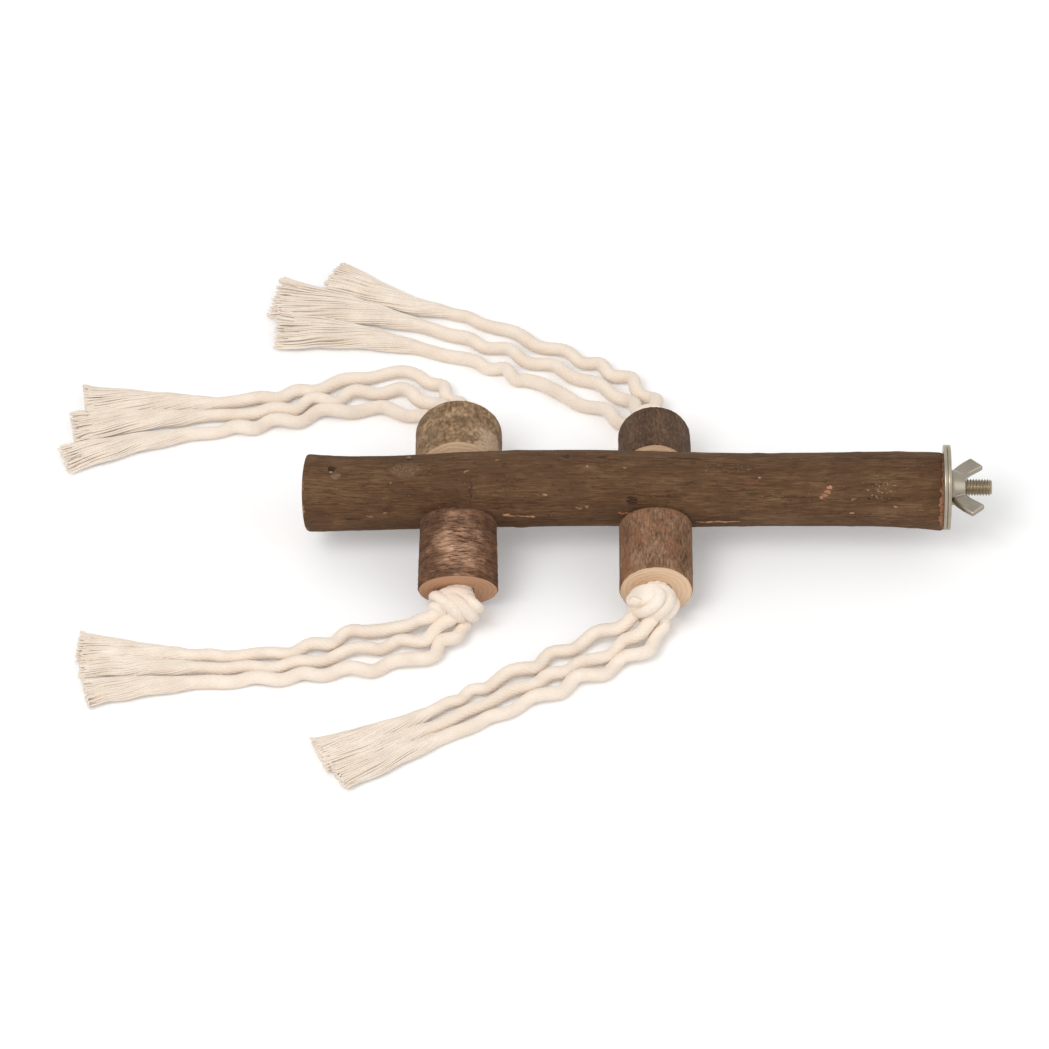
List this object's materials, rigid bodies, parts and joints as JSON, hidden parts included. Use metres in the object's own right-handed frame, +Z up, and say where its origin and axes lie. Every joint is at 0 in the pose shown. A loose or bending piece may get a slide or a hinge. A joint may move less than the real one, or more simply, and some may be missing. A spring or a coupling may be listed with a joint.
{
  "type": "bird perch",
  "caption": "Bark-covered branch perch that bolts to cage bars, with wooden blocks threaded on crossing cotton ropes for a bird to chew and turn.",
  "frame": {"origin": "on the surface the perch stands on, under the middle of the length from the free end of the branch to the tip of its bolt, with the branch axis above it", "axes": "+Z up, +X along the branch towards the bolt, +Y towards the rear blocks"},
  "size_m": [0.325, 0.2558, 0.041],
  "materials": {
    "branch_bark": "dry dark brown bark with fine streaks along the branch",
    "red_brown_bark": "red-brown bark, pale sawn ends",
    "brown_bark": "brown bark with red patches, pale sawn ends",
    "grey_bark": "grey-brown mottled bark, pale sawn ends",
    "dark_bark": "dark brown bark, pale sawn ends",
    "zinc_bolt": "bright zinc plate",
    "zinc_washer": "bright zinc plate",
    "zinc_nut": "bright zinc plate",
    "cotton_rope": "undyed twisted cotton",
    "cotton_knot": "undyed twisted cotton",
    "cotton_strand": "undyed cotton, frayed to yarn at the ends"
  },
  "bodies": {
    "root": {"perch_branch": "branch_bark", "hanger_bolt": "zinc_bolt", "inner_washer": "zinc_washer", "left_rope": "cotton_rope", "right_rope": "cotton_rope", "knot_near_left": "cotton_knot", "knot_near_right": "cotton_knot", "knot_rear_left": "cotton_knot", "knot_rear_right": "cotton_knot", "strand_near_left_a": "cotton_strand", "strand_near_left_b": "cotton_strand", "strand_near_left_c": "cotton_strand", "strand_near_right_a": "cotton_strand", "strand_near_right_b": "cotton_strand", "strand_near_right_c": "cotton_strand", "strand_rear_left_a": "cotton_strand", "strand_rear_left_b": "cotton_strand", "strand_rear_left_c": "cotton_strand", "strand_rear_right_a": "cotton_strand", "strand_rear_right_b": "cotton_strand", "strand_rear_right_c": "cotton_strand"},
    "clamp": {"outer_washer": "zinc_washer"},
    "nut": {"wing_nut": "zinc_nut"},
    "block_near_left": {"block_near_left": "red_brown_bark"},
    "block_near_right": {"block_near_right": "brown_bark"},
    "block_rear_left": {"block_rear_left": "grey_bark"},
    "block_rear_right": {"block_rear_right": "dark_bark"}
  },
  "joints": [
    {"name": "clamp_travel", "type": "slide", "parent": "root", "child": "clamp", "axis": [1, 0, 0], "range_m": [0, 0.008]},
    {"name": "nut_spin", "type": "hinge", "parent": "clamp", "child": "nut", "pos_m": [0.10652, 0, 0.026], "axis": [1, 0, 0], "range_deg": [0, 2880]},
    {"name": "block_near_left_spin", "type": "hinge", "parent": "root", "child": "block_near_left", "pos_m": [-0.06613, -0.01426, 0.02328], "axis": [0, -0.9223, -0.3864], "continuous": true},
    {"name": "block_near_right_spin", "type": "hinge", "parent": "root", "child": "block_near_right", "pos_m": [0.00308, -0.0128, 0.02017], "axis": [0, -0.9651, -0.2617], "continuous": true},
    {"name": "block_rear_left_spin", "type": "hinge", "parent": "root", "child": "block_rear_left", "pos_m": [-0.06613, 0.013, 0.01876], "axis": [0, 0.9903, -0.139], "continuous": true},
    {"name": "block_rear_right_spin", "type": "hinge", "parent": "root", "child": "block_rear_right", "pos_m": [0.00308, 0.01261, 0.01933], "axis": [0, 0.968, -0.251], "continuous": true}
  ],
  "couplings": [
    {"joint": "nut_spin", "follows": "clamp_travel", "rad_per_m": 6283.2}
  ]
}
